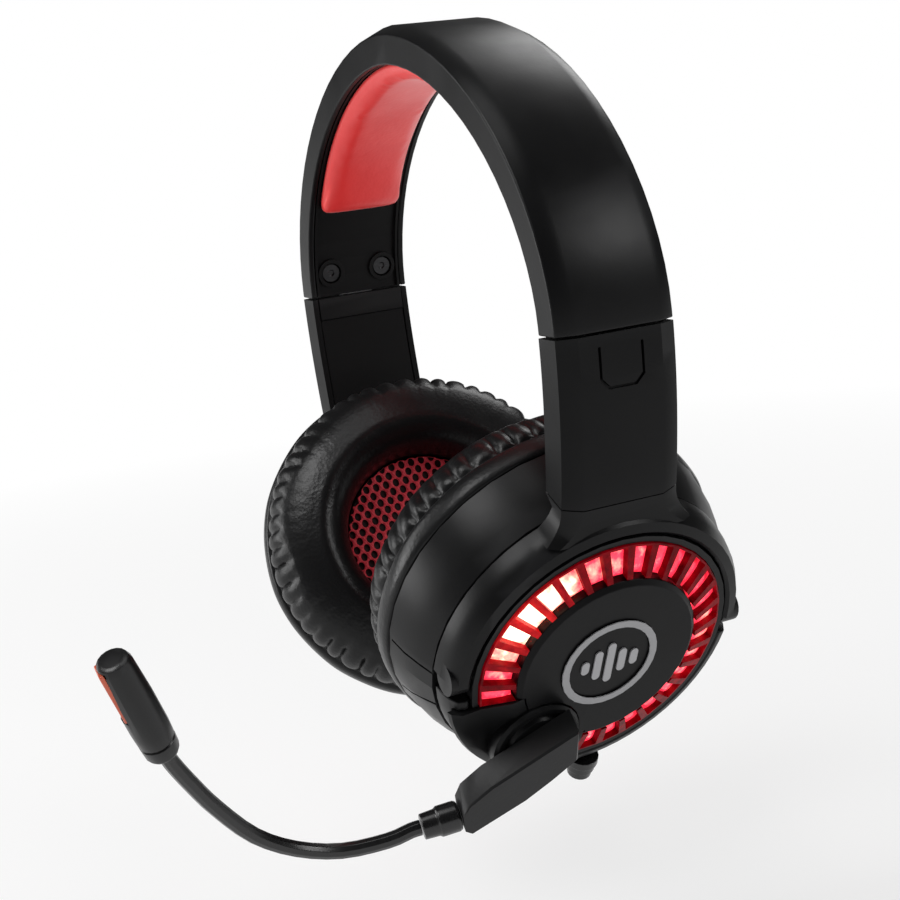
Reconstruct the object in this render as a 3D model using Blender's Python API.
"""Over-ear gaming headset: arched headband, sliding arms, swivelling yokes, tilting cups and a microphone boom.

Metres, +Z up. X runs from ear to ear with the left cup at +X, and the wearer faces -Y.
The origin is the point of the headband pad that rests on the crown of the head.

Each side is built once in the left side's own frames and hung under a side empty. The right side's empty mirrors it.
A cup frame has +X out of the cup (h), +Y the wearer's back and +Z up the yoke; h = 0 is the light ring's outer edge.
"""

import math

import bmesh
import bpy
from mathutils import Matrix, Vector

MM = 0.001
GAP = 0.3 * MM
RUNNING_GAP = 0.3 * MM

# Headband: a superellipse arch, measured on the outer shell's crest
BAND_WIDTH = 32.8 * MM
BAND_DEPTH = 10.2 * MM
CREST_WIDTH = 22.8 * MM
CHAMFER_DROP = 2.2 * MM
SHELL_WALL = 1.8 * MM
ARCH_HALF_WIDTH = 86.3 * MM
ARCH_RISE = 76.4 * MM
ARCH_POWER = 1.85
BAND_TAIL = 1.9 * MM
ARCH_STATIONS = 36

# Inner cover, crown pad and spring of the headband
COVER_THICKNESS = 1.4 * MM
COVER_LIP = 1.2 * MM
COVER_LIP_WIDTH = 0.8 * MM
PAD_PROUD = 4.0 * MM
PAD_END_RISE = 32.5 * MM
SPRING_WIDTH = 12.0 * MM
SPRING_THICKNESS = 0.8 * MM
SPRING_END_RISE = 42.0 * MM
END_CAP_THICKNESS = 1.5 * MM

# Screws at the band ends
BAND_SCREW_RISE = 8.5 * MM
BAND_SCREW_SPACING = 17.6 * MM
BAND_SCREW_HEAD_RADIUS = 3.0 * MM
BAND_SCREW_SHANK_RADIUS = 1.4 * MM
BAND_SCREW_LENGTH = 6.4 * MM
BOSS_WALL = 1.2 * MM

# Arms and their slider rails
ARM_CURVE = 2.564
ARM_GAP = 0.6 * MM
ARM_COLLAR = 6.0 * MM
ARM_COLLAR_STEP = 0.6 * MM
ARM_STATIONS = 12
RAIL_WIDTH = 11.0 * MM
RAIL_THICKNESS = 1.2 * MM
RAIL_DEPTH = 6.6 * MM
RAIL_ABOVE = 21.0 * MM
RAIL_BELOW = 16.0 * MM
SLIDE_LEAN = math.radians(4.0)
TAB_WIDTH = 12.5 * MM
TAB_HEIGHT = 10.5 * MM
TAB_TOP = 3.0 * MM
TAB_SINK = 0.5 * MM
DETENT_THICKNESS = 0.5 * MM
DETENT_DEPTH = 2.0 * MM

# Cup position and angles
CUP_X = 62.5 * MM
CUP_DROP = 165.16 * MM
CUP_LEAN = math.radians(26.75)
RIGHT_SWIVEL = math.radians(11.2)
SWIVEL_H = -8.3 * MM
TILT_H = -5.0 * MM

# Light ring, centre cap and badge
CAP_RADIUS = 26.3 * MM
CAP_TOP = 3.6 * MM
LIGHT_OUTER = 35.5 * MM
FIN_COUNT = 30
FIN_SHARE = 0.30
FIN_HEIGHT = 2.4 * MM
FIN_RIM = 0.5 * MM
BADGE_RADIUS = 14.0 * MM
BADGE_WALL = 2.1 * MM
BADGE_THICKNESS = 0.4 * MM

# Cup shell
NECK_RADIUS = 37.4 * MM
NECK_WALL = 1.6 * MM
NECK_TOP = -0.4 * MM
SHOULDER_H = -10.2 * MM
BOWL_RADIUS = 48.6 * MM
BOWL_DEPTH = 26.5 * MM
BOWL_WALL = 2.2 * MM
FLOOR_H = -5.8 * MM
FLOOR_THICKNESS = 1.8 * MM
WIRE_HOLE = 8.0 * MM
PANEL_GROOVE = 0.7 * MM
PANEL_RISES = ((-2.2 * MM, -2.4 * MM, -2.6 * MM, -2.6 * MM), (-13.6 * MM, -15.4 * MM, -18.0 * MM, -20.5 * MM))

# Yoke ring and the rim cover that completes it below the pins
YOKE_INNER = 38.0 * MM
YOKE_OUTER = 44.0 * MM
YOKE_BACK = -9.4 * MM
YOKE_STEP = 0.6 * MM
YOKE_TOP = 47.0 * MM
ARM_SLOPE = 0.244
PIN_RADIUS = 2.0 * MM
PIN_BOSS_RADIUS = 4.35 * MM
PIN_END_WALL = 2.2 * MM
SPIGOT_RADIUS = 1.3 * MM
SPIGOT_LENGTH = 4.2 * MM
BUSH_HEIGHT = 2.3 * MM

# Loudspeaker, baffle and ear pad
BAFFLE_H = -22.8 * MM
BAFFLE_THICKNESS = 1.8 * MM
DRIVER_RADIUS = 19.5 * MM
DRIVER_DEPTH = 10.0 * MM
MAGNET_RADIUS = 12.0 * MM
PAD_RADIUS = 49.2 * MM
PAD_BACK_GAP = 0.4 * MM
PAD_HOLE_RADIUS = 24.4 * MM
PAD_DEPTH = 24.4 * MM
MESH_SETBACK = 17.0 * MM
MESH_THICKNESS = 0.8 * MM

# Microphone: pivot hub, arm housing, sleeve, gooseneck and capsule
HUB_Y = -18.3 * MM
HUB_Z = -22.2 * MM
HUB_RADIUS = 12.6 * MM
HUB_TOP = 4.8 * MM
HUB_BOTTOM = -3.0 * MM
HUB_SECTOR = (math.radians(193.0), math.radians(262.0))
HUB_SECTOR_INNER = 24.5 * MM
HOUSING_ANGLE = math.radians(208.0)
HOUSING_BEHIND = 10.3 * MM
HOUSING_AHEAD = 26.4 * MM
HOUSING_WIDTH = 12.6 * MM
HOUSING_THICKNESS = 7.2 * MM
HOUSING_FLARE = 1.2 * MM
SLEEVE_RADIUS = 4.1 * MM
SLEEVE_LENGTH = 10.0 * MM
SLEEVE_OFFSET = 1.5 * MM
SLEEVE_TURN = math.radians(16.0)
SLEEVE_DIP = math.radians(8.0)
GOOSENECK_RADIUS = 2.1 * MM
CAPSULE_RADIUS = 4.7 * MM
CAPSULE_LENGTH = 33.0 * MM
CAPSULE_LEAN = math.radians(19.5)
WINDOW_LENGTH = 16.0 * MM
ELEMENT_RADIUS = 2.0 * MM
MIC_SCREW_RADIUS = 3.0 * MM
MIC_SCREW_HEAD = 1.6 * MM
MIC_SCREW_REACH = 4.2 * MM

# Cable inlet under the left cup
GLAND_RADII = (4.6 * MM, 4.0 * MM, 3.4 * MM)
GLAND_STEP = 2.4 * MM
GLAND_BORE = 2.0 * MM
GLAND_H = -5.0 * MM
GLAND_Y = 4.0 * MM

# Worked out from the sizes above
ARCH_TOP = BAND_DEPTH + PAD_PROUD
SPRING_LINE = ARCH_TOP - ARCH_RISE
BAND_END = SPRING_LINE - BAND_TAIL
CUP_Z = ARCH_TOP - CUP_DROP
COVER_HALF = BAND_WIDTH / 2 - SHELL_WALL - GAP
COVER_TOP = BAND_DEPTH - COVER_LIP - COVER_THICKNESS
RECESS = BAND_DEPTH - COVER_LIP
PAD_FRONT = -(BOWL_DEPTH + PAD_BACK_GAP + PAD_DEPTH)
PAD_BACK = -(BOWL_DEPTH + PAD_BACK_GAP)

LOOKS = {
    "black_plastic": ((0.012, 0.012, 0.013), 0.32, 0.0),
    "black_soft": ((0.014, 0.014, 0.015), 0.55, 0.0),
    "black_rubber": ((0.015, 0.015, 0.016), 0.6, 0.0),
    "red_soft": ((0.6, 0.03, 0.03), 0.45, 0.0),
    "red_light": ((0.9, 0.03, 0.05), 0.25, 0.0),
    "red_mesh": ((0.5, 0.03, 0.03), 0.7, 0.0),
    "orange": ((0.75, 0.12, 0.04), 0.4, 0.0),
    "grey_metal": ((0.18, 0.18, 0.19), 0.4, 0.9),
    "steel": ((0.5, 0.5, 0.52), 0.3, 1.0),
    "board": ((0.02, 0.12, 0.05), 0.5, 0.0),
    "card": ((0.25, 0.24, 0.22), 0.7, 0.0),
}


def clear_scene():
    for obj in list(bpy.data.objects):
        bpy.data.objects.remove(obj)


def look(name):
    """The material of that name, made the first time it is asked for."""
    material = bpy.data.materials.get(name)
    if material:
        return material
    colour, roughness, metallic = LOOKS[name]
    material = bpy.data.materials.new(name)
    material.use_nodes = True
    shader = material.node_tree.nodes["Principled BSDF"]
    shader.inputs["Base Color"].default_value = (*colour, 1.0)
    shader.inputs["Roughness"].default_value = roughness
    shader.inputs["Metallic"].default_value = metallic
    return material


# ---- Shapes


def solid(name, shape, material, parent=None, location=(0, 0, 0)):
    """An object made of a closed bmesh, with its faces turned outwards."""
    bmesh.ops.recalc_face_normals(shape, faces=shape.faces)
    mesh = bpy.data.meshes.new(name)
    shape.to_mesh(mesh)
    shape.free()
    mesh.shade_smooth()
    mesh.set_sharp_from_angle(angle=math.radians(32))
    mesh.materials.append(look(material))
    obj = bpy.data.objects.new(name, mesh)
    bpy.context.scene.collection.objects.link(obj)
    obj.parent = parent
    obj.location = location
    return obj


def helper(obj):
    """Marks an object as a tool that shapes another one and isn't a piece itself."""
    obj.hide_render = True
    obj.display_type = "WIRE"
    return obj


def combine(obj, tool, operation):
    modifier = obj.modifiers.new(tool.name, "BOOLEAN")
    modifier.operation = operation
    modifier.object = helper(tool)


def lofted(sections, closed=False):
    """A bmesh skin over sections that each hold the same number of points; open ends get flat caps."""
    shape = bmesh.new()
    rings = [[shape.verts.new(point) for point in section] for section in sections]
    pairs = list(zip(rings, rings[1:] + rings[:1]))
    for one, two in pairs if closed else pairs[:-1]:
        for i in range(len(one)):
            j = (i + 1) % len(one)
            shape.faces.new((one[i], one[j], two[j], two[i]))
    if not closed:
        shape.faces.new(list(reversed(rings[0])))
        shape.faces.new(rings[-1])
    return shape


def turned(profile, segments, centre=(0.0, 0.0), start=0.0, end=math.tau):
    """A bmesh turned about a line along +X: profile holds (radius, h) pairs round a closed outline.

    A profile whose first and last radius are 0 is closed on the axis. A part turn gets flat ends.
    """
    whole = end - start > math.tau - 1e-6
    steps = segments if whole else segments + 1
    angles = [start + (end - start) * i / segments for i in range(steps)]
    if profile[0][0] > 0:
        sections = [[turned_point(r, h, angle, centre) for r, h in profile] for angle in angles]
        return lofted(sections, closed=whole)
    shape = bmesh.new()
    first = shape.verts.new((profile[0][1], *centre))
    last = shape.verts.new((profile[-1][1], *centre))
    middle = profile[1:-1]
    rings = [[shape.verts.new(turned_point(r, h, angle, centre)) for r, h in middle] for angle in angles]
    for one, two in zip(rings, rings[1:] + rings[:1]):
        shape.faces.new((first, one[0], two[0]))
        shape.faces.new((last, two[-1], one[-1]))
        for i in range(len(middle) - 1):
            shape.faces.new((one[i], one[i + 1], two[i + 1], two[i]))
    return shape


def turned_point(radius, h, angle, centre):
    return (h, centre[0] + radius * math.cos(angle), centre[1] + radius * math.sin(angle))


def rod(start, end, radii, sides=16):
    """A bmesh rod from start to end; radii holds (share of the length, radius) pairs."""
    start, end = Vector(start), Vector(end)
    along = end - start
    across = along.orthogonal().normalized()
    other = along.normalized().cross(across)
    sections = []
    for share, radius in radii:
        middle = start + along * share
        angles = [math.tau * i / sides for i in range(sides)]
        sections.append([middle + radius * (across * math.cos(a) + other * math.sin(a)) for a in angles])
    return lofted(sections)


def prism(outline, low, high):
    """A bmesh that extends a closed (y, z) outline along X from low to high."""
    return lofted([[(h, y, z) for y, z in outline] for h in (low, high)])


def smooth_path(points, per_span):
    """Points on a Catmull-Rom curve through the given ones."""
    points = [Vector(point) for point in points]
    padded = [2 * points[0] - points[1], *points, 2 * points[-1] - points[-2]]
    path = []
    for a, b, c, d in zip(padded, padded[1:], padded[2:], padded[3:]):
        for i in range(per_span):
            t = i / per_span
            path.append(0.5 * (2 * b + (c - a) * t + (2 * a - 5 * b + 4 * c - d) * t**2 + (3 * b - a - 3 * c + d) * t**3))
    return [*path, points[-1]]


def tube(path, radius, sides):
    """A bmesh tube of one radius along a path, with its sections carried along without twist."""
    across = (path[1] - path[0]).orthogonal().normalized()
    sections = []
    for i, point in enumerate(path):
        along = (path[min(i + 1, len(path) - 1)] - path[max(i - 1, 0)]).normalized()
        across = (across - along * across.dot(along)).normalized()
        other = along.cross(across)
        angles = [math.tau * k / sides for k in range(sides)]
        sections.append([point + radius * (across * math.cos(a) + other * math.sin(a)) for a in angles])
    return lofted(sections)


# ---- Headband path


def crest(angle):
    """The outer crest of the arch at an angle from the left spring line, as (x, z)."""
    x = ARCH_HALF_WIDTH * math.copysign(abs(math.cos(angle)) ** (2 / ARCH_POWER), math.cos(angle))
    return Vector((x, 0, SPRING_LINE + ARCH_RISE * max(math.sin(angle), 0.0) ** (2 / ARCH_POWER)))


def crest_angle(z):
    """The angle at which the left side's crest has that height."""
    share = (z - SPRING_LINE) / ARCH_RISE
    return math.asin(share ** (ARCH_POWER / 2))


def inward(angle):
    """The unit normal of the arch that points at the head."""
    step = 1e-3
    one, two = crest(max(angle - step, 0.0)), crest(min(angle + step, math.pi))
    along = (two - one).normalized()
    return Vector((-along.z, 0, along.x))


def arch_stations(from_z=None):
    """(crest point, inward normal) pairs over the arch, from the left end to the right one."""
    low = crest_angle(from_z) if from_z else 0.0
    angles = [low + (math.pi - 2 * low) * i / ARCH_STATIONS for i in range(ARCH_STATIONS + 1)]
    stations = [(crest(angle), inward(angle)) for angle in angles]
    if from_z:
        return stations
    left = (Vector((ARCH_HALF_WIDTH, 0, BAND_END)), Vector((-1, 0, 0)))
    right = (Vector((-ARCH_HALF_WIDTH, 0, BAND_END)), Vector((1, 0, 0)))
    stations[0] = (stations[0][0], Vector((-1, 0, 0)))
    stations[-1] = (stations[-1][0], Vector((1, 0, 0)))
    return [left, *stations, right]


def arm_stations():
    """(crest point, inward normal) pairs down the left arm, the last in the plane where the yoke begins."""
    foot_r = YOKE_TOP + RUNNING_GAP
    top, low = BAND_END - ARM_GAP, CUP_Z
    for _ in range(60):
        middle = (top + low) / 2
        if (arm_crest(middle) - cup_centre()).dot(cup_up()) > foot_r:
            top = middle
        else:
            low = middle
    start = BAND_END - ARM_GAP
    stations = []
    for i in range(ARM_STATIONS + 1):
        share = i / ARM_STATIONS
        z = start + (low - start) * share
        slope = 2 * ARM_CURVE * (SPRING_LINE - z)
        normal = Vector((-1, 0, slope)).normalized() if i else Vector((-1, 0, 0))
        blend = max(0.0, share - 0.6) / 0.4
        normal = (normal * (1 - blend) - cup_out() * blend).normalized()
        stations.append((arm_crest(z), normal))
    return stations


def arm_crest(z):
    return Vector((ARCH_HALF_WIDTH - ARM_CURVE * (SPRING_LINE - z) ** 2, 0, z))


def across_stations(stations, outline):
    """Sections for a loft: the outline's (y, depth) points at each station."""
    return [[point + normal * depth + Vector((0, y, 0)) for y, depth in outline] for point, normal in stations]


# ---- Cup frame


def cup_out():
    return Vector((math.cos(CUP_LEAN), 0, -math.sin(CUP_LEAN)))


def cup_up():
    return Vector((math.sin(CUP_LEAN), 0, math.cos(CUP_LEAN)))


def cup_centre():
    return Vector((CUP_X, 0, CUP_Z))


def in_cup(point):
    """A point of the left side's space in the left cup's frame."""
    away = point - cup_centre()
    return Vector((away.dot(cup_out()), away.y, away.dot(cup_up())))


# ---- Headband


def channel_outline(depth):
    """The outer shell's C-shaped section with chamfered corners, as (y, depth) points."""
    half, flat = BAND_WIDTH / 2, CREST_WIDTH / 2
    inner = half - SHELL_WALL
    outer = [(-half, depth), (-half, CHAMFER_DROP), (-flat, 0), (flat, 0), (half, CHAMFER_DROP), (half, depth)]
    under = CHAMFER_DROP + SHELL_WALL * 0.7
    inside = [(inner, depth), (inner, under), (flat - 0.6 * MM, SHELL_WALL)]
    return outer + inside + [(-y, d) for y, d in reversed(inside)]


def cover_outline(lip_depth, recess):
    """The inner cover's shallow U section."""
    half, lip = COVER_HALF, COVER_HALF - COVER_LIP_WIDTH
    side = [(half, COVER_TOP), (half, lip_depth), (lip, lip_depth), (lip, recess)]
    return side + [(-y, d) for y, d in reversed(side)]


def crown_pad_outline(share):
    """The pad's section; share is 1 along the pad and less towards its rounded ends."""
    half = (COVER_HALF - COVER_LIP_WIDTH - GAP) * (0.90 + 0.10 * share)
    top, low = RECESS + GAP, BAND_DEPTH + PAD_PROUD * share - 0.8 * MM * (1 - share)
    rise = low - top
    right = [(half * 0.96, top), (half, top + rise * 0.35), (half * 0.9, top + rise * 0.7)]
    right += [(half * 0.62, top + rise * 0.93), (0.0, low)]
    return right + [(-y, d) for y, d in reversed(right[:-1])]


def make_headband():
    stations = arch_stations()
    solid("headband_outer_shell", lofted(across_stations(stations, channel_outline(BAND_DEPTH))), "black_plastic")
    cover_sections = across_stations(stations, cover_outline(BAND_DEPTH, RECESS))
    cover = solid("headband_inner_cover", lofted(cover_sections), "black_soft")
    make_crown_pad()
    spring = arch_stations(SPRING_LINE + SPRING_END_RISE)
    top = SHELL_WALL + GAP
    edges = (SPRING_WIDTH / 2, -SPRING_WIDTH / 2)
    strip = [(edges[0], top), (edges[0], top + SPRING_THICKNESS)]
    strip += [(edges[1], top + SPRING_THICKNESS), (edges[1], top)]
    solid("headband_spring", lofted(across_stations(spring[::2], strip)), "steel")
    for side, sign in (("left", 1), ("right", -1)):
        make_band_screws(cover, side, sign)
        make_end_cap(side, sign)


def make_crown_pad():
    stations = arch_stations(BAND_END + PAD_END_RISE)[::2]
    last = len(stations) - 1
    shares = {0: 0.1, 1: 0.82, last - 1: 0.82, last: 0.1}
    sections = []
    for i, station in enumerate(stations):
        sections += across_stations([station], crown_pad_outline(shares.get(i, 1.0)))
    solid("headband_pad", lofted(sections), "red_soft")


def make_band_screws(cover, side, sign):
    """Two countersunk screws in raised rings at a band end, with their seats in the inner cover."""
    angle = crest_angle(BAND_END + BAND_SCREW_RISE)
    normal = inward(angle)
    for place, y in (("front", -BAND_SCREW_SPACING / 2), ("rear", BAND_SCREW_SPACING / 2)):
        mirror = Matrix.Diagonal((sign, 1, 1))
        face = mirror @ (crest(angle) + normal * (BAND_DEPTH - 0.2 * MM) + Vector((0, y, 0)))
        back = -(mirror @ normal)
        name = f"band_screw_{side}_{place}"
        seat_radius = BAND_SCREW_HEAD_RADIUS + GAP
        hole_radius = BAND_SCREW_SHANK_RADIUS + GAP
        head = 1.2 * MM
        ring_length = COVER_LIP + 0.8 * MM
        ring = rod(face, face + back * ring_length, [(0, seat_radius + BOSS_WALL), (1, seat_radius + BOSS_WALL)], 16)
        combine(cover, solid(name + "_ring", ring, "black_soft"), "UNION")
        cut_length = 8.0 * MM
        sink = [(0, seat_radius), (3 * MM / cut_length, seat_radius), ((3 * MM + head) / cut_length, hole_radius)]
        cut = rod(face - back * 2 * MM, face + back * (cut_length - 2 * MM), [*sink, (1, hole_radius)], 16)
        combine(cover, solid(name + "_seat", cut, "black_soft"), "DIFFERENCE")
        top = face + back * 0.6 * MM
        tip = top + back * BAND_SCREW_LENGTH
        shank = BAND_SCREW_SHANK_RADIUS
        body = [(0, BAND_SCREW_HEAD_RADIUS), (0.06, BAND_SCREW_HEAD_RADIUS), (0.06 + head / BAND_SCREW_LENGTH, shank)]
        screw = solid(name, rod(top, tip, [*body, (1, shank)], 14), "black_plastic")
        slot_to = top + back * 0.5 * MM
        slot = rod(top - back * MM, slot_to, [(0, 1.1 * MM), (1, 1.1 * MM)], 6)
        combine(screw, solid(name + "_slot", slot, "steel"), "DIFFERENCE")


def rail_line(sign=1):
    """A point on the left rail's centre line at the band end, and the way it slides out."""
    point = Vector((ARCH_HALF_WIDTH - RAIL_DEPTH, 0, BAND_END))
    way = Vector((math.sin(SLIDE_LEAN), 0, -math.cos(SLIDE_LEAN)))
    mirror = Matrix.Diagonal((sign, 1, 1))
    return mirror @ point, mirror @ way


def rail_bar(sign, above, below, grow):
    """The rail's straight bar, grown all round where it is a slot for the rail."""
    point, way = rail_line(sign)
    thick = Vector((0, 1, 0)).cross(way) * (RAIL_THICKNESS / 2 + grow)
    wide = Vector((0, RAIL_WIDTH / 2 + grow, 0))
    sections = []
    for middle in (point - way * above, point + way * below):
        sections.append([middle + thick + wide, middle + thick - wide, middle - thick - wide, middle - thick + wide])
    return lofted(sections)


def plug_outline():
    """What fills the channel of the band or the arm, as (y, depth) points."""
    half = COVER_HALF
    top = SHELL_WALL + GAP
    return [(half, CHAMFER_DROP + SHELL_WALL), (CREST_WIDTH / 2 - MM, top), (MM - CREST_WIDTH / 2, top),
            (-half, CHAMFER_DROP + SHELL_WALL), (-half, COVER_TOP - GAP), (half, COVER_TOP - GAP)]


def make_end_cap(side, sign):
    levels = (BAND_END + GAP, BAND_END + GAP + END_CAP_THICKNESS)
    sections = [[(sign * (ARCH_HALF_WIDTH - d), y, z) for y, d in plug_outline()] for z in levels]
    cap = solid(f"band_end_cap_{side}", lofted(sections), "black_plastic")
    slot = solid(f"band_end_slot_{side}", rail_bar(sign, 5 * MM, 5 * MM, RUNNING_GAP), "black_plastic")
    combine(cap, slot, "DIFFERENCE")


# ---- Arm


def make_detent(side, parent):
    """A bent leaf in the band end whose bump bears on the rail's edge."""
    point, way = rail_line()
    rest = RAIL_WIDTH / 2 + GAP
    bends = [(rest + 2.6 * MM, 12 * MM), (rest, 17 * MM), (rest + 2.6 * MM, 22 * MM)]
    across = Vector((0, 1, 0)).cross(way) * DETENT_DEPTH / 2
    sections = []
    for y, rise in bends:
        middle = point - way * rise
        low, high = Vector((0, y, 0)), Vector((0, y + DETENT_THICKNESS, 0))
        sections.append([middle + across + low, middle + across + high, middle - across + high, middle - across + low])
    solid(f"{side}_detent_spring", lofted(sections), "steel", parent)


def make_arm(side, slide, origin):
    """The arm's outer shell, inner cover, slider rail and swivel bush, in the slide empty's frame."""
    stations = [(point - origin, normal) for point, normal in arm_stations()]
    shell = solid(f"{side}_arm_shell", lofted(across_stations(stations, channel_outline(BAND_DEPTH))),
                  "black_plastic", slide)
    combine(shell, tab_groove(side, slide, origin), "DIFFERENCE")
    make_arm_cover(side, slide, origin, stations)
    rail = rail_bar(1, RAIL_ABOVE + BAND_TAIL, RAIL_BELOW, 0.0)
    bmesh.ops.translate(rail, verts=rail.verts, vec=-origin)
    solid(f"{side}_slider_rail", rail, "steel", slide)
    make_bush(side, slide, origin)


def make_arm_cover(side, slide, origin, stations):
    """The arm's inner cover with a raised collar and an end plate that the rail comes out of."""
    length = (stations[1][0] - stations[0][0]).length
    collar = max(1, round(ARM_COLLAR / length))
    recess = BAND_DEPTH - GAP
    sections = []
    for i, station in enumerate(stations):
        raised = ARM_COLLAR_STEP if i <= collar else 0.0
        outline = [(COVER_HALF, COVER_TOP), (COVER_HALF, recess + raised)]
        outline += [(-COVER_HALF, recess + raised), (-COVER_HALF, COVER_TOP)]
        if i == collar:
            sections += across_stations([station], outline)
            point, normal = station
            station = (point + Vector((0, 0, -0.4 * MM)), normal)
            outline = [(y, min(d, recess)) for y, d in outline]
        sections += across_stations([station], outline)
    cover = solid(f"{side}_arm_cover", lofted(sections), "black_soft", slide)
    plate_top = BAND_END - ARM_GAP - origin.z
    outline = [(y, d if d < COVER_TOP - MM else COVER_TOP + 0.5 * MM) for y, d in plug_outline()]
    levels = (plate_top - 0.05 * MM, plate_top - END_CAP_THICKNESS)
    face = ARCH_HALF_WIDTH - origin.x
    plate = lofted([[(face - d, y * 0.99, z) for y, d in outline] for z in levels])
    combine(cover, solid(f"{side}_arm_plate", plate, "black_soft", slide), "UNION")
    slot = rail_bar(1, 5 * MM, 8 * MM, GAP)
    bmesh.ops.translate(slot, verts=slot.verts, vec=-origin)
    combine(cover, solid(f"{side}_arm_slot", slot, "black_soft", slide), "DIFFERENCE")


def tab_groove(side, slide, origin):
    """A U-shaped groove round the side mark's tab near the arm's top."""
    half, wall = TAB_WIDTH / 2, 0.7 * MM
    top = BAND_END - ARM_GAP - TAB_TOP - origin.z
    low = top - TAB_HEIGHT
    cut = 2.4 * MM
    outside = [(half, top), (half, low + cut), (half - cut, low), (cut - half, low), (-half, low + cut), (-half, top)]
    inside = [(-half + wall, top), (-half + wall, low + cut * 1.15), (cut * 1.15 - half, low + wall)]
    inside += [(half - cut * 1.15, low + wall), (half - wall, low + cut * 1.15), (half - wall, top)]
    face = ARCH_HALF_WIDTH - origin.x
    groove = prism(outside + inside, face - 1.4 * MM, face + 3 * MM)
    return solid(f"{side}_tab_groove", groove, "black_plastic", slide)


def make_bush(side, slide, origin):
    """The block at the arm's foot that holds the yoke's spigot."""
    half = 8.0 * MM
    low = YOKE_TOP + RUNNING_GAP + 0.4 * MM
    high = low + BUSH_HEIGHT
    face = in_cup(arm_stations()[-1][0]).x
    front, back = face - SHELL_WALL - 1.2 * GAP, face - COVER_TOP + 1.2 * GAP
    outline = [(-half, front), (half, front), (half, back), (-half, back)]
    sections = []
    for z in (low, high):
        push = -(z - YOKE_TOP) * ARM_SLOPE
        sections.append([from_cup((h + push, y, z)) - origin for y, h in outline])
    bush = solid(f"{side}_swivel_bush", lofted(sections), "black_plastic", slide)
    bore = SPIGOT_RADIUS + RUNNING_GAP
    ends = [from_cup((SWIVEL_H, 0, z)) - origin for z in (low - MM, high + MM)]
    hole = solid(f"{side}_bush_bore", rod(*ends, [(0, bore), (1, bore)], 16), "black_plastic", slide)
    combine(bush, hole, "DIFFERENCE")


def from_cup(point):
    """A point of the left cup's frame in the left side's space."""
    h, y, z = point
    return cup_centre() + cup_out() * h + Vector((0, y, 0)) + cup_up() * z


# ---- Yoke


def yoke_outline(shrink):
    """The yoke ring's section, (radius, h) points; the rim cover is the same, shrunk on its outside."""
    outer = YOKE_OUTER - shrink
    rise = YOKE_INNER + 0.9 * MM
    return [(YOKE_INNER, -0.9 * MM - shrink), (rise, -0.1 * MM - shrink), (outer - 2.6 * MM, -0.8 * MM - shrink),
            (outer - 1.1 * MM, -3.4 * MM - shrink), (outer - 0.3 * MM, -6.5 * MM), (outer, YOKE_BACK),
            (YOKE_INNER, YOKE_BACK)]


def make_yoke(side, swivel):
    """The C-shaped yoke: a half ring, the neck that meets the arm, two pin bosses and the swivel spigot."""
    shift = (-SWIVEL_H, 0, 0)
    ring = turned(yoke_outline(0.0), 28, start=0.0, end=math.pi)
    yoke = solid(f"{side}_yoke", ring, "black_plastic", swivel, shift)
    half, flat, drop = BAND_WIDTH / 2, CREST_WIDTH / 2, CHAMFER_DROP
    arm_h = in_cup(arm_stations()[-1][0]).x
    low = YOKE_INNER + 0.4 * MM
    spread = (0.0, 0.02, 0.12, 0.32, 0.62, 1.0)
    sections = []
    for i, flare in enumerate(spread):
        z = YOKE_TOP + (low - YOKE_TOP) * i / (len(spread) - 1)
        front = arm_h + (YOKE_TOP - z) * ARM_SLOPE
        wide = half + 4.2 * MM * flare
        back = arm_h - BAND_DEPTH if i == 0 else YOKE_BACK + 0.05 * MM
        level = front - drop * (1 - 0.3 * flare)
        crest_half = flat + 6.4 * MM * flare
        outline = [(-crest_half, front), (crest_half, front), (wide, level), (wide, back), (-wide, back), (-wide, level)]
        sections.append([(h, y, z) for y, h in outline])
    combine(yoke, solid(f"{side}_yoke_neck", lofted(sections), "black_plastic", swivel, shift), "UNION")
    for place, sign in (("front", -1), ("rear", 1)):
        ends = [(TILT_H, sign * y, 0) for y in (YOKE_INNER + 0.1 * MM, YOKE_OUTER - 0.9 * MM)]
        boss = rod(*ends, [(0, PIN_BOSS_RADIUS), (1, PIN_BOSS_RADIUS)], 20)
        combine(yoke, solid(f"{side}_yoke_boss_{place}", boss, "black_plastic", swivel, shift), "UNION")
        bore = PIN_RADIUS + GAP
        ends = [(TILT_H, sign * y, 0) for y in (YOKE_INNER - 2 * MM, YOKE_OUTER - PIN_END_WALL)]
        hole = rod(*ends, [(0, bore), (1, bore)], 16)
        combine(yoke, solid(f"{side}_yoke_bore_{place}", hole, "black_plastic", swivel, shift), "DIFFERENCE")
        start = NECK_RADIUS - NECK_WALL + 0.1 * MM
        ends = [(TILT_H, sign * y, 0) for y in (start, YOKE_OUTER - PIN_END_WALL - GAP)]
        pin = rod(*ends, [(0, PIN_RADIUS), (1, PIN_RADIUS)], 16)
        solid(f"{side}_pivot_pin_{place}", pin, "steel", swivel, shift)
    spigot = rod((SWIVEL_H, 0, YOKE_TOP - 3 * MM), (SWIVEL_H, 0, YOKE_TOP + SPIGOT_LENGTH),
                 [(0, SPIGOT_RADIUS), (1, SPIGOT_RADIUS)], 16)
    combine(yoke, solid(f"{side}_yoke_spigot", spigot, "black_plastic", swivel, shift), "UNION")


# ---- Cup


def light_cone(radius, below):
    """h on the light ring's cone, which rises from its outer edge to the centre cap."""
    share = (LIGHT_OUTER - radius) / (LIGHT_OUTER - CAP_RADIUS)
    return 0.1 * MM + 2.9 * MM * share - below


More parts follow.
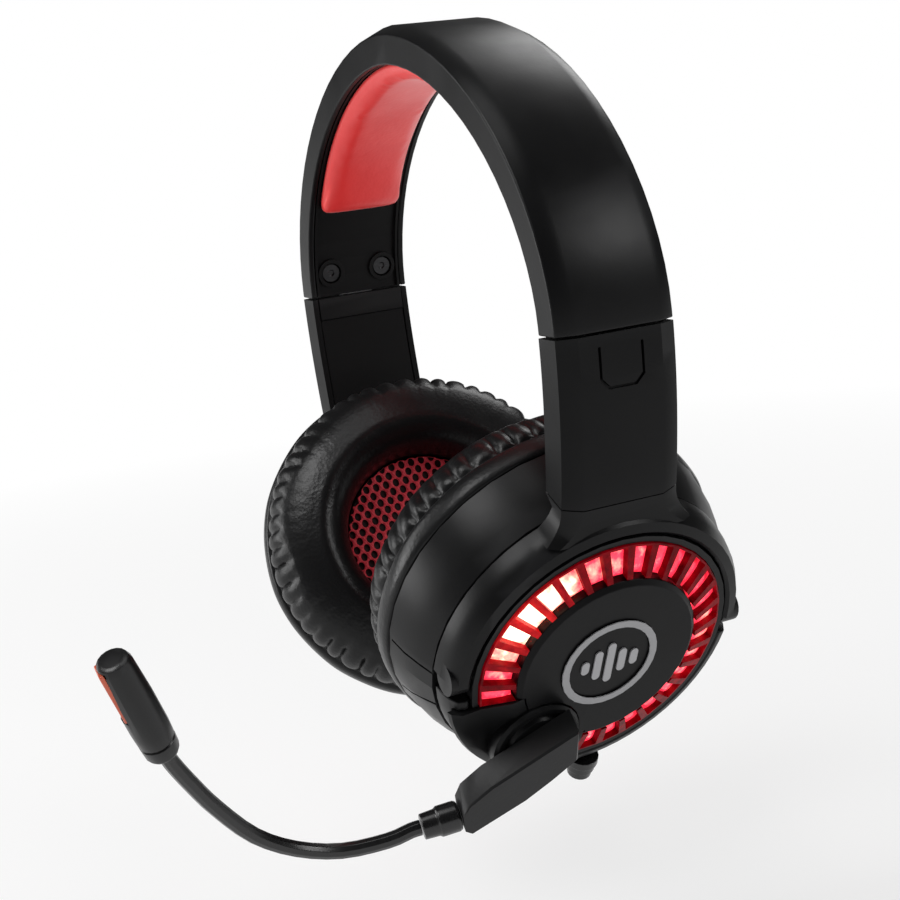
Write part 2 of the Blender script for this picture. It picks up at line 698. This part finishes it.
def cup_shell_profile():
    back = -BOWL_DEPTH
    outer = [(NECK_RADIUS, NECK_TOP), (NECK_RADIUS, SHOULDER_H), (BOWL_RADIUS - 4.6 * MM, SHOULDER_H)]
    length = back - SHOULDER_H
    bowl = [(BOWL_RADIUS - 3.0 * MM, SHOULDER_H + length * 0.25), (BOWL_RADIUS - 1.2 * MM, SHOULDER_H + length * 0.6),
            (BOWL_RADIUS, back)]
    inner = [(r - BOWL_WALL, h - (0.0 if h == back else 0.2 * MM)) for r, h in reversed(bowl)]
    inside = NECK_RADIUS - NECK_WALL
    floor = FLOOR_H - FLOOR_THICKNESS
    under = SHOULDER_H - 2.2 * MM
    rest = [(inside, under), (inside, floor), (WIRE_HOLE, floor), (WIRE_HOLE, FLOOR_H), (inside, FLOOR_H)]
    return outer + bowl + inner + rest + [(inside, NECK_TOP)]


def panel_groove(sign, rises):
    """A cutter for a groove over the bowl's side, at the given heights over its outside from front to back."""
    bowl = [point for point in cup_shell_profile() if BOWL_RADIUS - 4.7 * MM < point[0] and point[1] <= SHOULDER_H]
    sections = []
    for (radius, h), rise in zip(bowl[:4], rises):
        away = Vector((0, sign * math.sqrt(radius**2 - rise**2), rise)) / radius
        side = Vector((0, -away.z, away.y)) * PANEL_GROOVE / 2
        middle = Vector((h + (MM if radius < BOWL_RADIUS - 4 * MM else 0.0), 0, 0))
        low, high = away * (radius - PANEL_GROOVE), away * (radius + 2 * MM)
        sections.append([middle + low - side, middle + low + side, middle + high + side, middle + high - side])
    sections[-1] = [point + Vector((MM, 0, 0)) for point in sections[-1]]
    return lofted(sections)


def make_cup(side, tilt):
    """The cup's shells, light, badge, loudspeaker and ear pad."""
    shift = (-TILT_H, 0, 0)
    cut_for_hub = side == "left"

    def piece(name, shape, material):
        return solid(f"{side}_{name}", shape, material, tilt, shift)

    shell = piece("cup_shell", turned(cup_shell_profile(), 36), "black_plastic")
    for place, sign in (("front", -1), ("rear", 1)):
        ends = [(TILT_H, sign * y, 0) for y in (NECK_RADIUS - 3.5 * MM, NECK_RADIUS + 2 * MM)]
        radius = PIN_RADIUS + RUNNING_GAP
        combine(shell, piece(f"neck_hole_{place}", rod(*ends, [(0, radius), (1, radius)], 16), "steel"), "DIFFERENCE")
    for place, sign in (("front", -1), ("rear", 1)):
        for level, rises in (("upper", PANEL_RISES[0]), ("lower", PANEL_RISES[1])):
            cut = piece(f"panel_{place}_{level}", panel_groove(sign, rises), "black_plastic")
            combine(shell, cut, "DIFFERENCE")
    profile = [(r - GAP if r < YOKE_INNER + MM else r, max(h, SHOULDER_H + GAP)) for r, h in yoke_outline(YOKE_STEP)]
    clear = math.asin((PIN_BOSS_RADIUS + 1.9 * MM) / YOKE_OUTER)
    rim = piece("rim_cover", turned(profile, 28, start=math.pi + clear, end=math.tau - clear), "black_plastic")
    light = piece("light_ring", turned(light_profile(), 32), "red_light")
    grille = make_grille(piece)
    cap = piece("centre_cap", turned(cap_profile(), 36), "black_plastic")
    cut_these = [shell, rim, light, grille, cap] if cut_for_hub else []
    for obj in cut_these:
        for kind, shape in hub_shapes(GAP).items():
            combine(obj, piece(f"{obj.name}_hub_{kind}", shape, "black_plastic"), "DIFFERENCE")
    badge_low = CAP_TOP + 0.25 * MM
    badge_inner = BADGE_RADIUS - BADGE_WALL
    badge = [(badge_inner, badge_low), (BADGE_RADIUS, badge_low), (BADGE_RADIUS, badge_low + BADGE_THICKNESS),
             (badge_inner, badge_low + BADGE_THICKNESS)]
    piece("badge_ring", turned(badge, 28), "grey_metal")
    board_top = light_cone(LIGHT_OUTER, FIN_HEIGHT + 1.9 * MM)
    board_low = max(board_top - 1.6 * MM, FLOOR_H + GAP)
    board = [(CAP_RADIUS + 0.4 * MM, board_top), (LIGHT_OUTER - 0.6 * MM, board_top),
             (LIGHT_OUTER - 0.6 * MM, board_low), (CAP_RADIUS + 0.4 * MM, board_low)]
    piece("led_board", turned(board, 24), "board")
    make_driver(piece)
    make_ear_pad(piece)


def light_profile():
    inner, outer = CAP_RADIUS + 0.6 * MM, LIGHT_OUTER - 0.2 * MM
    top = FIN_HEIGHT + GAP
    return [(inner, light_cone(inner, top)), (outer, light_cone(outer, top)),
            (outer, light_cone(outer, top + 1.2 * MM)), (inner, light_cone(inner, top + 1.2 * MM))]


def cap_profile():
    edge, skirt = CAP_RADIUS, CAP_RADIUS - 1.7 * MM
    field = BADGE_RADIUS - BADGE_WALL - GAP
    return [(0, CAP_TOP), (field, CAP_TOP), (edge - 1.4 * MM, CAP_TOP), (edge, CAP_TOP - 1.1 * MM), (edge, -2.0 * MM),
            (skirt, -2.0 * MM), (skirt, CAP_TOP - 1.8 * MM), (0, CAP_TOP - 1.8 * MM)]


def make_grille(piece):
    """The fins over the light: radial blades joined by a rim round their outer ends."""
    inner, outer = CAP_RADIUS + 0.4 * MM, LIGHT_OUTER
    rim = outer - FIN_RIM
    pitch = math.tau / FIN_COUNT
    shape = bmesh.new()

    def layer(below):
        corners = []
        for i in range(FIN_COUNT):
            for angle in (pitch * i, pitch * (i + FIN_SHARE)):
                places = [turned_point(r, light_cone(r, below), angle, (0, 0)) for r in (inner, rim, outer)]
                corners.append([shape.verts.new(place) for place in places])
        return corners

    top, low = layer(0.0), layer(FIN_HEIGHT)
    count = len(top)
    for i in range(count):
        j = (i + 1) % count
        for level in (top, low):
            shape.faces.new((level[i][1], level[j][1], level[j][2], level[i][2]))
            if i % 2 == 0:
                shape.faces.new((level[i][0], level[j][0], level[j][1], level[i][1]))
        shape.faces.new((top[i][2], top[j][2], low[j][2], low[i][2]))
        end = 0 if i % 2 == 0 else 1
        shape.faces.new((top[i][end], top[j][end], low[j][end], low[i][end]))
        shape.faces.new((top[i][0], top[i][1], low[i][1], low[i][0]))
    return piece("light_grille", shape, "black_plastic")


def make_driver(piece):
    back = BAFFLE_H + DRIVER_DEPTH
    front = BAFFLE_H - BAFFLE_THICKNESS
    hole = DRIVER_RADIUS + GAP
    # The bowl's inside narrows towards its shoulder, so the baffle stops short of it.
    edge = BOWL_RADIUS - BOWL_WALL - 1.3 * MM
    piece("baffle", turned([(hole, BAFFLE_H), (edge, BAFFLE_H), (edge, front), (hole, front)], 32), "black_plastic")
    flange, mouth = DRIVER_RADIUS + 2.8 * MM, DRIVER_RADIUS - 0.9 * MM
    seat = front - GAP
    basket = [(0, back), (MAGNET_RADIUS, back), (MAGNET_RADIUS, back - 6 * MM), (DRIVER_RADIUS, BAFFLE_H + 0.8 * MM),
              (DRIVER_RADIUS, seat), (flange, seat), (flange, seat - 1.2 * MM), (mouth, seat - 1.2 * MM),
              (mouth, BAFFLE_H - 0.2 * MM), (MAGNET_RADIUS - MM, back - 7 * MM), (0, back - 7 * MM)]
    piece("driver_basket", turned(basket, 16), "grey_metal")
    cone, rim = DRIVER_RADIUS * 0.5, mouth - GAP
    mid = BAFFLE_H - 1.0 * MM
    dome = [(0, mid), (cone, mid + 0.8 * MM), (rim, mid - 0.4 * MM), (rim, mid - MM), (cone, mid + 0.1 * MM),
            (0, mid - 0.7 * MM)]
    piece("driver_diaphragm", turned(dome, 16), "card")


def make_ear_pad(piece):
    back, front = PAD_BACK, PAD_FRONT
    depth = PAD_DEPTH
    edge, hole = PAD_RADIUS, PAD_HOLE_RADIUS
    crown = hole + 0.31 * (edge - hole)
    profile = [(hole, back), (edge - 0.8 * MM, back), (edge - 0.2 * MM, back - depth * 0.17),
               (edge, back - depth * 0.41), (edge - 0.7 * MM, back - depth * 0.62),
               (edge - 3.2 * MM, back - depth * 0.77), (edge - 7.7 * MM, back - depth * 0.87),
               ((edge + crown) / 2 - 3.9 * MM, back - depth * 0.955), (crown, front),
               (crown - 3.6 * MM, back - depth * 0.94), (hole + 1.4 * MM, back - depth * 0.76),
               (hole, back - depth * 0.45)]
    piece("ear_pad", turned(profile, 36), "black_soft")
    rim = hole - GAP
    top = front + MESH_SETBACK
    mesh = [(0, top), (rim, top), (rim, top - MESH_THICKNESS), (0, top - MESH_THICKNESS)]
    piece("pad_mesh", turned(mesh, 28), "red_mesh")


# ---- Microphone


def hub_shapes(grow):
    """The two shapes that make the hub's base: a disc and a stretch of the light ring's band."""
    base = HUB_BOTTOM - grow
    disc = [(0, 12 * MM), (HUB_RADIUS + grow, 12 * MM), (HUB_RADIUS + grow, base), (0, base)]
    inner, outer = HUB_SECTOR_INNER - grow, YOKE_OUTER + 3 * MM
    turn = grow / CAP_RADIUS
    sector = [(inner, 12 * MM), (outer, 12 * MM), (outer, base), (inner, base)]
    start, end = HUB_SECTOR[0] - turn, HUB_SECTOR[1] + turn
    return {"disc": turned(disc, 24, (HUB_Y, HUB_Z)), "sector": turned(sector, 14, start=start, end=end)}


def make_hub(tilt):
    """The hub's base in the cup's face: a turned disc joined to a plate that follows the light ring."""
    shift = (-TILT_H, 0, 0)
    top, base = HUB_TOP, HUB_BOTTOM
    profile = [(0, top - 0.9 * MM), (4.6 * MM, top - 0.9 * MM), (5.2 * MM, top), (8.2 * MM, top),
               (8.8 * MM, top - 0.9 * MM), (HUB_RADIUS - 2.6 * MM, top - 0.9 * MM), (HUB_RADIUS - 2.0 * MM, top),
               (HUB_RADIUS - 0.8 * MM, top), (HUB_RADIUS, top - 0.8 * MM), (HUB_RADIUS, base), (0, base)]
    hub = solid("mic_hub", turned(profile, 24, (HUB_Y, HUB_Z)), "black_plastic", tilt, shift)
    outer = YOKE_OUTER - YOKE_STEP
    inner = HUB_SECTOR_INNER
    low = base + 0.05 * MM
    band = [(inner, 3.3 * MM), (CAP_RADIUS + 1.5 * MM, 3.3 * MM), (LIGHT_OUTER, 0.7 * MM), (outer - 3 * MM, 0.2 * MM),
            (outer - 0.5 * MM, -1.6 * MM), (outer, low), (inner, low)]
    plate = solid("mic_hub_plate", turned(band, 14, start=HUB_SECTOR[0], end=HUB_SECTOR[1]), "black_plastic",
                  tilt, shift)
    combine(hub, plate, "UNION")
    combine(hub, solid("mic_hub_hole", on_pivot(screw_steps(base - MM, top + 2 * MM), GAP), "black_plastic",
                       tilt, shift), "DIFFERENCE")


def screw_steps(low, high):
    """The mic screw's (h, radius) steps between two heights: its head sits low in the hub."""
    shank = MIC_SCREW_RADIUS - 1.2 * MM
    neck = HUB_BOTTOM + MIC_SCREW_HEAD
    return [(low, MIC_SCREW_RADIUS), (neck, MIC_SCREW_RADIUS), (neck + 0.01 * MM, shank), (high, shank)]


def on_pivot(points, grow):
    """A bmesh turned about the mic's pivot from (h, radius) steps, grown all round."""
    start, end = points[0][0] - grow, points[-1][0] + grow
    radii = [((h + (grow if 0 < i < len(points) - 1 else 0.0) - start) / (end - start), r + grow)
             for i, (h, r) in enumerate(points)]
    radii[0], radii[-1] = (0, radii[0][1]), (1, radii[-1][1])
    return rod((start, HUB_Y, HUB_Z), (end, HUB_Y, HUB_Z), radii, 16)


def boom_point(along, across, h):
    """A point of the cup's frame by its place along and across the housing, from the pivot."""
    cos, sin = math.cos(HOUSING_ANGLE), math.sin(HOUSING_ANGLE)
    return Vector((h, HUB_Y + along * cos - across * sin, HUB_Z + along * sin + across * cos))


def make_boom(swing):
    """The swinging pieces; the swing empty stands on the pivot, so they are placed back by its position."""
    shift = (0, -HUB_Y, -HUB_Z)

    def piece(name, shape, material):
        return solid(name, shape, material, swing, shift)

    low = HUB_TOP + RUNNING_GAP
    mid = low + HOUSING_THICKNESS * 0.48
    make_housing(piece, low)
    first = HOUSING_AHEAD + SLEEVE_OFFSET * math.tan(SLEEVE_TURN) + 1.3 * GAP
    start = boom_point(first, SLEEVE_OFFSET, mid)
    reach = SLEEVE_LENGTH * math.cos(SLEEVE_TURN)
    across = SLEEVE_OFFSET - SLEEVE_LENGTH * math.sin(SLEEVE_TURN)
    end = boom_point(first + reach, across, mid - SLEEVE_LENGTH * math.sin(SLEEVE_DIP))
    radius = SLEEVE_RADIUS
    radii = [(0, radius - 0.4 * MM), (0.08, radius), (0.55, radius), (0.6, radius - 0.5 * MM), (1, radius - 0.7 * MM)]
    piece("mic_sleeve", rod(start, end, radii, 16), "black_rubber")
    path = smooth_path(boom_route(end, end - start), 3)
    piece("mic_gooseneck", tube(path, GOOSENECK_RADIUS, 10), "black_rubber")
    make_capsule(piece, path[-1])


def boom_route(end, way):
    """The gooseneck's route from the sleeve's end: on, down and forwards, then up to the capsule, leaning in."""
    way = way.normalized()
    rest = [(6.3, -60.5, -40.8), (3.9, -72.1, -42.4), (1.4, -83.8, -39.4), (-0.8, -94.3, -32.4), (-2.8, -103.5, -20.9),
            (-4.0, -109.3, -11.7), (-5.0, -114.0, -3.2), (-5.5, -116.6, 3.0)]
    return [end + way * GAP, end + way * 3 * MM, *(Vector(place) * MM for place in rest)]


def housing_outline(grow, lift):
    """The housing's outline, (along, across) points at a height over its middle: narrow at the pivot, widest ahead.

    Its front end stands square to the sleeve.
    """
    half = HOUSING_WIDTH / 2 + grow
    back, front = -HOUSING_BEHIND - grow, HOUSING_AHEAD + lift * math.tan(SLEEVE_DIP)
    turn = math.tan(SLEEVE_TURN)
    upper, lower = -1.9 * MM, 4.0 * MM
    return [(back, -half * 0.75), (front * 0.6, -half * 0.86), (front * 0.87, -half * 0.66),
            (front + upper * turn, upper), (front + lower * turn, lower), (front, half * 1.12),
            (front * 0.4, half * 1.28), (front * 0.08, half * 1.12), (back + 3.9 * MM, half * 0.86)]


def make_housing(piece, low):
    """The faceted block between the hub and the sleeve, and the screw it turns on."""
    high = low + HOUSING_THICKNESS
    middle = low + HOUSING_THICKNESS * 0.48
    levels = [(low, HOUSING_FLARE), (high - 0.6 * MM, 0.1 * MM), (high, -0.5 * MM)]
    sections = [[boom_point(*place, h) for place in housing_outline(grow, h - middle)] for h, grow in levels]
    housing = piece("mic_arm_housing", lofted(sections), "black_plastic")
    end = low + MIC_SCREW_REACH
    hole = screw_steps(HUB_BOTTOM + GAP, end)
    shank = hole[-1][1]
    blind = on_pivot([(low - MM, shank), (end, shank)], GAP)
    combine(housing, piece("mic_housing_hole", blind, "black_plastic"), "DIFFERENCE")
    piece("mic_pivot_screw", on_pivot(hole, 0.0), "steel")


def make_capsule(piece, entry):
    """The microphone's tube, with the gooseneck's socket in its foot and the element further in."""
    way = Vector((-0.07, -math.sin(CAPSULE_LEAN), math.cos(CAPSULE_LEAN))).normalized()
    begin = entry - way * 2.2 * MM
    end = begin + way * CAPSULE_LENGTH
    radius = CAPSULE_RADIUS
    radii = [(0, radius - 0.9 * MM), (0.03, radius - 0.4 * MM), (0.13, radius - 0.2 * MM), (0.14, radius - 0.5 * MM),
             (0.16, radius - 0.2 * MM), (0.28, radius), (0.6, radius), (0.93, radius * 0.92), (0.98, radius * 0.8),
             (1.0, radius * 0.55)]
    capsule = piece("mic_capsule", rod(begin, end, radii, 18), "black_plastic")
    socket = GOOSENECK_RADIUS + 0.8 * MM
    bore = ELEMENT_RADIUS + GAP
    deep = 13 * MM
    share = 3.2 * MM / (deep + MM)
    steps = [(0, socket), (share, socket), (share + 0.001, bore), (1, bore)]
    hollow = rod(begin - way * MM, begin + way * deep, steps, 16)
    combine(capsule, piece("mic_capsule_bore", hollow, "black_plastic"), "DIFFERENCE")
    element = rod(begin + way * 8 * MM, begin + way * (deep - GAP), [(0, ELEMENT_RADIUS), (1, ELEMENT_RADIUS)], 14)
    piece("mic_element", element, "grey_metal")
    make_window(piece, capsule, end, way)


def make_window(piece, capsule, end, way):
    """A strip let into the capsule on the side that faces the mouth."""
    forward = Vector((0, -1, 0))
    out = (forward - way * forward.dot(way)).normalized()
    wide = way.cross(out) * 2.7 * MM
    close, far = end - way * (WINDOW_LENGTH + 1.5 * MM), end - way * 1.5 * MM
    inner, outer = CAPSULE_RADIUS * 0.6, CAPSULE_RADIUS * 0.94

    def bar(low, high, grow):
        side, reach = wide.normalized() * (wide.length + grow), way * grow
        ends = (close - reach, far + reach)
        return lofted([[p + out * low - side, p + out * low + side, p + out * high + side * 0.8,
                        p + out * high - side * 0.8] for p in ends])

    pocket = piece("mic_window_pocket", bar(inner, outer + 2 * MM, GAP), "orange")
    combine(capsule, pocket, "DIFFERENCE")
    piece("mic_window", bar(inner + GAP, outer - 0.15 * MM, 0.0), "orange")


def make_gland(tilt):
    """The stepped cable inlet under the left cup, with an open bore in its flat end."""
    shift = (-TILT_H, 0, 0)
    top = -(YOKE_OUTER - YOKE_STEP) - GAP
    length = GLAND_STEP * len(GLAND_RADII)
    radii = []
    for i, radius in enumerate(GLAND_RADII):
        low, high = i / len(GLAND_RADII), (i + 1) / len(GLAND_RADII)
        radii += [(low + (0.002 if i else 0.0), radius), (high, radius)]
    start, end = Vector((GLAND_H, GLAND_Y, top)), Vector((GLAND_H, GLAND_Y, top - length))
    gland = solid("cable_gland", rod(start, end, radii, 20), "black_rubber", tilt, shift)
    bore = rod(end + Vector((0, 0, 5 * MM)), end - Vector((0, 0, MM)), [(0, GLAND_BORE), (1, GLAND_BORE)], 14)
    combine(gland, solid("cable_bore", bore, "black_rubber", tilt, shift), "DIFFERENCE")


# ---- Assembly


def empty(name, parent=None, matrix=None):
    obj = bpy.data.objects.new(name, None)
    obj.empty_display_size = 10 * MM
    bpy.context.scene.collection.objects.link(obj)
    obj.parent = parent
    obj.matrix_basis = matrix or Matrix.Identity(4)
    return obj


def make_side(side):
    """One side's chain of empties, each on its joint's axis, with the pieces that move with it."""
    root = empty(f"{side}_side")
    root.scale.x = 1 if side == "left" else -1
    make_detent(side, root)
    slide_at, _ = rail_line()
    slide = empty(f"{side}_slide_axis", root, Matrix.Translation(slide_at))
    make_arm(side, slide, slide_at)
    cup_turn = Matrix((cup_out(), (0, 1, 0), cup_up())).transposed().to_4x4()
    rest = Matrix.Rotation(RIGHT_SWIVEL if side == "right" else 0.0, 4, "Z")
    swivel_at = from_cup((SWIVEL_H, 0, 0)) - slide_at
    swivel = empty(f"{side}_swivel_axis", slide, Matrix.Translation(swivel_at) @ cup_turn @ rest)
    make_yoke(side, swivel)
    tilt = empty(f"{side}_tilt_axis", swivel, Matrix.Translation((TILT_H - SWIVEL_H, 0, 0)))
    make_cup(side, tilt)
    return tilt


def main():
    clear_scene()
    make_headband()
    make_side("right")
    left = make_side("left")
    make_hub(left)
    swing = empty("mic_swing_axis", left, Matrix.Translation((-TILT_H, HUB_Y, HUB_Z)))
    make_boom(swing)
    make_gland(left)


main()
